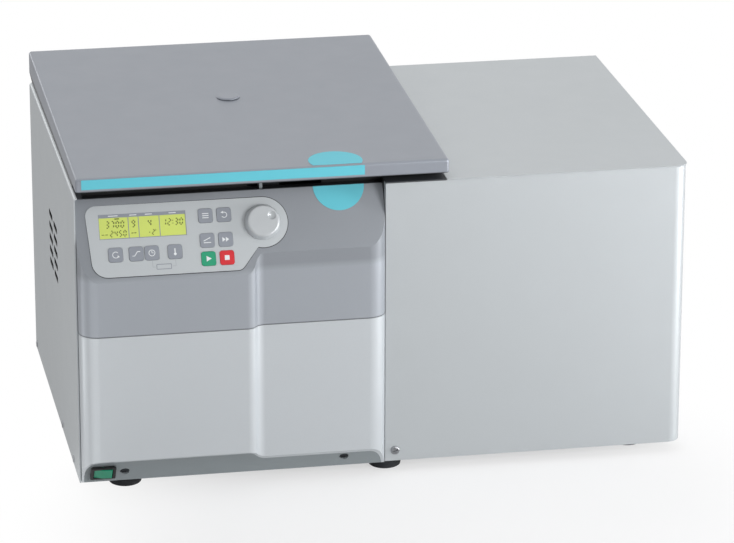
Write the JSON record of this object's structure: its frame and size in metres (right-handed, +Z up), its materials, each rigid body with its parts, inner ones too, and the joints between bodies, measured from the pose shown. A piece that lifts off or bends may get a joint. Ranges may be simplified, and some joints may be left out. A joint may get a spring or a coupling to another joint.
{
  "type": "microplate centrifuge",
  "caption": "Refrigerated bench centrifuge with a hinged lid, sloping control panel, swing-out rotor with microplate buckets and a sheet-steel cooling unit at its side.",
  "frame": {"origin": "centre of the footprint's bounding box, on the surface that the feet stand on", "axes": "+X to the right across the front, +Y to the back, +Z up"},
  "size_m": [0.7162, 0.5145, 0.3893],
  "materials": {
    "tray_steel": "zinc-plated sheet",
    "foot_rubber": "matt",
    "panel_paint": "silver powder coat",
    "fascia_silver": "silver-grey paint",
    "fascia_grey": "grey-violet metallic paint",
    "skirt_grey": "dark grey",
    "deck_grey": "grey powder coat",
    "screw_steel": "nickel plated",
    "bowl_steel": "stainless, satin",
    "seal_rubber": "matt",
    "foam": "rigid foam",
    "copper": "copper tube",
    "motor_black": "cast, black",
    "turned_steel": "ground",
    "rotor_aluminium": "anodised",
    "black_anodised": "black anodised, knurled",
    "hinge_steel": "plated",
    "lid_grey": "grey-violet metallic paint",
    "liner_dark": "textured",
    "accent_film": "turquoise film",
    "lock_cast": "black",
    "plate_film": "light grey film",
    "lcd_glass": "yellow-green display",
    "board_green": "solder mask",
    "knob_silver": "silver satin",
    "key_grey": "grey",
    "key_green": "green",
    "key_red": "red",
    "black_plastic": "black",
    "rocker_green": "green, translucent",
    "heatsink": "extruded",
    "compressor_black": "black paint",
    "fin_aluminium": "mill finish"
  },
  "bodies": {
    "case": {"base_tray": "tray_steel", "feet": "foot_rubber", "left_side_panel": "panel_paint", "lower_fascia": "fascia_silver", "upper_fascia": "fascia_grey", "front_skirt": "skirt_grey", "cooling_wrap_panel": "panel_paint", "cooling_top_cover": "panel_paint", "chamber_deck": "deck_grey", "rear_panel": "panel_paint", "partition": "tray_steel", "case_screws": "screw_steel", "chamber_bowl": "bowl_steel", "chamber_seal": "seal_rubber", "foam_jacket": "foam", "evaporator_coil": "copper", "motor_plate": "tray_steel", "rubber_mounts": "seal_rubber", "drive_motor": "motor_black", "shaft_gaiter": "seal_rubber", "hinge_brackets": "hinge_steel", "lock_housing": "lock_cast", "control_plate": "plate_film", "display": "lcd_glass", "control_board": "board_green", "panel_accent": "accent_film", "rocker_frame": "black_plastic", "drive_electronics": "heatsink", "compressor": "compressor_black", "condenser": "fin_aluminium", "fan_shroud": "black_plastic", "refrigerant_pipes": "copper", "power_inlet": "black_plastic"},
    "rotor": {"drive_shaft": "turned_steel", "rotor_yoke": "rotor_aluminium", "trunnion_pins": "turned_steel", "rotor_nut": "black_anodised"},
    "bucket_left": {"bucket_left": "rotor_aluminium"},
    "bucket_right": {"bucket_right": "rotor_aluminium"},
    "lid": {"hinge_pins": "turned_steel", "hinge_leaves": "hinge_steel", "lid_shell": "lid_grey", "lid_liner": "liner_dark", "lid_accent": "accent_film", "port_plug": "lid_grey", "lid_striker": "turned_steel"},
    "lock_bolt": {"lock_bolt": "turned_steel"},
    "knob": {"knob": "knob_silver"},
    "rocker": {"rocker_key": "rocker_green"},
    "cooling_fan": {"cooling_fan": "black_plastic"},
    "key_rpm": {"key_rpm": "key_grey"},
    "key_ramp": {"key_ramp": "key_grey"},
    "key_time": {"key_time": "key_grey"},
    "key_temp": {"key_temp": "key_grey"},
    "key_program": {"key_program": "key_grey"},
    "key_recall": {"key_recall": "key_grey"},
    "key_lid": {"key_lid": "key_grey"},
    "key_quick": {"key_quick": "key_grey"},
    "key_start": {"key_start": "key_green"},
    "key_stop": {"key_stop": "key_red"}
  },
  "joints": [
    {"name": "lid_hinge", "type": "hinge", "parent": "case", "child": "lid", "pos_m": [-0.1399, 0.23925, 0.363], "axis": [-1, 0, 0], "range_deg": [0, 75]},
    {"name": "rotor_spin", "type": "hinge", "parent": "case", "child": "rotor", "pos_m": [-0.1399, 0.03425, 0.299], "axis": [0, 0, 1], "continuous": true},
    {"name": "bucket_left_swing", "type": "hinge", "parent": "rotor", "child": "bucket_left", "pos_m": [-0.2279, 0.03425, 0.299], "axis": [0, 1, 0], "range_deg": [0, 90]},
    {"name": "bucket_right_swing", "type": "hinge", "parent": "rotor", "child": "bucket_right", "pos_m": [-0.0519, 0.03425, 0.299], "axis": [0, -1, 0], "range_deg": [0, 90]},
    {"name": "lock_bolt_slide", "type": "slide", "parent": "case", "child": "lock_bolt", "axis": [-1, 0, 0], "range_m": [0, 0.012]},
    {"name": "knob_turn", "type": "hinge", "parent": "case", "child": "knob", "pos_m": [-0.1416, -0.22955, 0.31509], "axis": [0, -0.8829, 0.4695], "continuous": true},
    {"name": "rocker_tilt", "type": "hinge", "parent": "case", "child": "rocker", "pos_m": [-0.3309, -0.2429, 0.02783], "axis": [0, -0.5917, 0.8062], "range_deg": [0, 14]},
    {"name": "fan_spin", "type": "hinge", "parent": "case", "child": "cooling_fan", "pos_m": [0.2021, 0.17585, 0.163], "axis": [0, 1, 0], "continuous": true},
    {"name": "key_rpm_press", "type": "slide", "parent": "case", "child": "key_rpm", "axis": [0, 0.8829, -0.4695], "range_m": [0, 0.0005], "stiffness_N_per_m": 600},
    {"name": "key_ramp_press", "type": "slide", "parent": "case", "child": "key_ramp", "axis": [0, 0.8829, -0.4695], "range_m": [0, 0.0005], "stiffness_N_per_m": 600},
    {"name": "key_time_press", "type": "slide", "parent": "case", "child": "key_time", "axis": [0, 0.8829, -0.4695], "range_m": [0, 0.0005], "stiffness_N_per_m": 600},
    {"name": "key_temp_press", "type": "slide", "parent": "case", "child": "key_temp", "axis": [0, 0.8829, -0.4695], "range_m": [0, 0.0005], "stiffness_N_per_m": 600},
    {"name": "key_program_press", "type": "slide", "parent": "case", "child": "key_program", "axis": [0, 0.8829, -0.4695], "range_m": [0, 0.0005], "stiffness_N_per_m": 600},
    {"name": "key_recall_press", "type": "slide", "parent": "case", "child": "key_recall", "axis": [0, 0.8829, -0.4695], "range_m": [0, 0.0005], "stiffness_N_per_m": 600},
    {"name": "key_lid_press", "type": "slide", "parent": "case", "child": "key_lid", "axis": [0, 0.8829, -0.4695], "range_m": [0, 0.0005], "stiffness_N_per_m": 600},
    {"name": "key_quick_press", "type": "slide", "parent": "case", "child": "key_quick", "axis": [0, 0.8829, -0.4695], "range_m": [0, 0.0005], "stiffness_N_per_m": 600},
    {"name": "key_start_press", "type": "slide", "parent": "case", "child": "key_start", "axis": [0, 0.8829, -0.4695], "range_m": [0, 0.0005], "stiffness_N_per_m": 600},
    {"name": "key_stop_press", "type": "slide", "parent": "case", "child": "key_stop", "axis": [0, 0.8829, -0.4695], "range_m": [0, 0.0005], "stiffness_N_per_m": 600}
  ]
}
